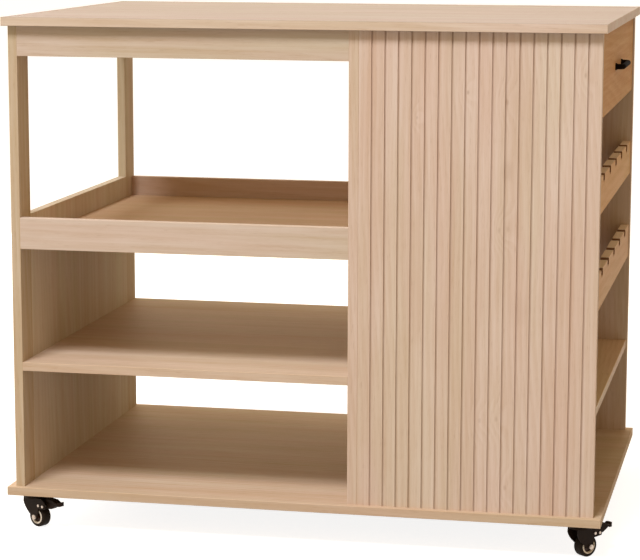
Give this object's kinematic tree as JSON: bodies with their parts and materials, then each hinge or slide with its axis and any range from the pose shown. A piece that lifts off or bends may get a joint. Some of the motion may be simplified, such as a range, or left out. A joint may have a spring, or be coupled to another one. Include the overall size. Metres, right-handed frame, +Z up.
{
  "type": "kitchen cart",
  "caption": "Wide wooden kitchen cart with an open left bay and tray, a fluted cabinet with an end drawer, bottle racks and a shelf, on braked swivel casters.",
  "frame": {"origin": "on the floor, under the middle of the cart's bounding box", "axes": "+X along the width to the end with the drawer, +Y from the fluted front to the back, +Z up"},
  "size_m": [1.1354, 0.765, 0.957],
  "materials": {
    "oak_top": "light natural oak with knots, clear matt lacquer, grain along the width",
    "oak_upright": "light natural oak with knots, clear matt lacquer, upright grain",
    "oak_long": "light natural oak, clear matt lacquer, grain along the width",
    "oak_cross": "light natural oak, clear matt lacquer, grain along the depth",
    "oak_fluted": "light natural oak with knots, upright grain, machined grooves",
    "drawer_box": "pale plain wood, clear matt lacquer",
    "dowel_beech": "fluted beech pegs",
    "handle_black": "black satin powder coat",
    "caster_black": "black satin coat on pressed steel",
    "tyre_black": "black rubber, matt",
    "hub_beige": "beige nylon",
    "slide_steel": "bright zinc-plated sheet",
    "ball_steel": "polished steel balls",
    "zinc": "bright zinc plate",
    "cam_zinc": "die-cast zinc"
  },
  "bodies": {
    "cart": {"worktop": "oak_top", "base_board": "oak_top", "left_front_post": "oak_upright", "left_rear_post": "oak_upright", "left_side_panel": "oak_upright", "left_top_rail": "oak_cross", "front_apron": "oak_long", "rear_apron": "oak_long", "tray_front_rail": "oak_long", "tray_rear_rail": "oak_long", "tray_floor": "oak_long", "left_shelf": "oak_long", "divider_panel": "oak_upright", "fluted_front_panel": "oak_fluted", "rear_panel": "oak_upright", "right_shelf": "oak_cross", "upper_rack_outer": "oak_cross", "upper_rack_inner": "oak_cross", "lower_rack_outer": "oak_cross", "lower_rack_inner": "oak_cross", "slide_cabinet_members": "slide_steel", "dowels": "dowel_beech", "cam_locks": "cam_zinc", "cam_bolts": "zinc", "base_screws": "zinc", "top_brackets": "zinc", "pan_head_screws": "zinc", "caster_plates": "caster_black", "caster_kingpins": "zinc"},
    "drawer": {"drawer_front": "oak_cross", "drawer_front_side": "drawer_box", "drawer_rear_side": "drawer_box", "drawer_back": "drawer_box", "drawer_bottom": "drawer_box", "drawer_handle": "handle_black", "drawer_handle_screws": "zinc", "slide_drawer_members": "slide_steel", "slide_drawer_screws": "zinc"},
    "slide_cages": {"slide_ball_cages": "slide_steel", "slide_balls": "ball_steel"},
    "front_left_caster": {"front_left_fork": "caster_black", "front_left_pins": "zinc"},
    "front_left_wheel": {"front_left_tyre": "tyre_black", "front_left_hub": "hub_beige"},
    "front_left_lever": {"front_left_brake": "caster_black"},
    "front_right_caster": {"front_right_fork": "caster_black", "front_right_pins": "zinc"},
    "front_right_wheel": {"front_right_tyre": "tyre_black", "front_right_hub": "hub_beige"},
    "front_right_lever": {"front_right_brake": "caster_black"},
    "rear_left_caster": {"rear_left_fork": "caster_black", "rear_left_pins": "zinc"},
    "rear_left_wheel": {"rear_left_tyre": "tyre_black", "rear_left_hub": "hub_beige"},
    "rear_left_lever": {"rear_left_brake": "caster_black"},
    "rear_right_caster": {"rear_right_fork": "caster_black", "rear_right_pins": "zinc"},
    "rear_right_wheel": {"rear_right_tyre": "tyre_black", "rear_right_hub": "hub_beige"},
    "rear_right_lever": {"rear_right_brake": "caster_black"}
  },
  "joints": [
    {"name": "drawer_slide", "type": "slide", "parent": "cart", "child": "drawer", "axis": [1, 0, 0], "range_m": [0, 0.26]},
    {"name": "slide_cage_travel", "type": "slide", "parent": "cart", "child": "slide_cages", "axis": [1, 0, 0], "range_m": [0, 0.13]},
    {"name": "front_left_swivel", "type": "hinge", "parent": "cart", "child": "front_left_caster", "pos_m": [-0.514, -0.3375, 0.057], "axis": [0, 0, 1], "continuous": true},
    {"name": "front_left_roll", "type": "hinge", "parent": "front_left_caster", "child": "front_left_wheel", "pos_m": [-0.50164, -0.34407, 0.02], "axis": [0.4695, 0.8829, 0], "continuous": true},
    {"name": "front_left_brake_lever", "type": "hinge", "parent": "front_left_caster", "child": "front_left_lever", "pos_m": [-0.49237, -0.349, 0.0435], "axis": [0.4695, 0.8829, 0], "range_deg": [0, 9]},
    {"name": "front_right_swivel", "type": "hinge", "parent": "cart", "child": "front_right_caster", "pos_m": [0.514, -0.3375, 0.057], "axis": [0, 0, 1], "continuous": true},
    {"name": "front_right_roll", "type": "hinge", "parent": "front_right_caster", "child": "front_right_wheel", "pos_m": [0.52355, -0.32726, 0.02], "axis": [-0.7314, 0.682, 0], "continuous": true},
    {"name": "front_right_brake_lever", "type": "hinge", "parent": "front_right_caster", "child": "front_right_lever", "pos_m": [0.53071, -0.31958, 0.0435], "axis": [-0.7314, 0.682, 0], "range_deg": [0, 9]},
    {"name": "rear_left_swivel", "type": "hinge", "parent": "cart", "child": "rear_left_caster", "pos_m": [-0.514, 0.3375, 0.057], "axis": [0, 0, 1], "continuous": true},
    {"name": "rear_left_roll", "type": "hinge", "parent": "rear_left_caster", "child": "rear_left_wheel", "pos_m": [-0.52355, 0.32726, 0.02], "axis": [0.7314, -0.682, 0], "continuous": true},
    {"name": "rear_left_brake_lever", "type": "hinge", "parent": "rear_left_caster", "child": "rear_left_lever", "pos_m": [-0.53071, 0.31958, 0.0435], "axis": [0.7314, -0.682, 0], "range_deg": [0, 9]},
    {"name": "rear_right_swivel", "type": "hinge", "parent": "cart", "child": "rear_right_caster", "pos_m": [0.514, 0.3375, 0.057], "axis": [0, 0, 1], "continuous": true},
    {"name": "rear_right_roll", "type": "hinge", "parent": "rear_right_caster", "child": "rear_right_wheel", "pos_m": [0.50164, 0.34407, 0.02], "axis": [-0.4695, -0.8829, 0], "continuous": true},
    {"name": "rear_right_brake_lever", "type": "hinge", "parent": "rear_right_caster", "child": "rear_right_lever", "pos_m": [0.49237, 0.349, 0.0435], "axis": [-0.4695, -0.8829, 0], "range_deg": [0, 9]}
  ],
  "couplings": [
    {"joint": "slide_cage_travel", "follows": "drawer_slide", "ratio": 0.5}
  ]
}
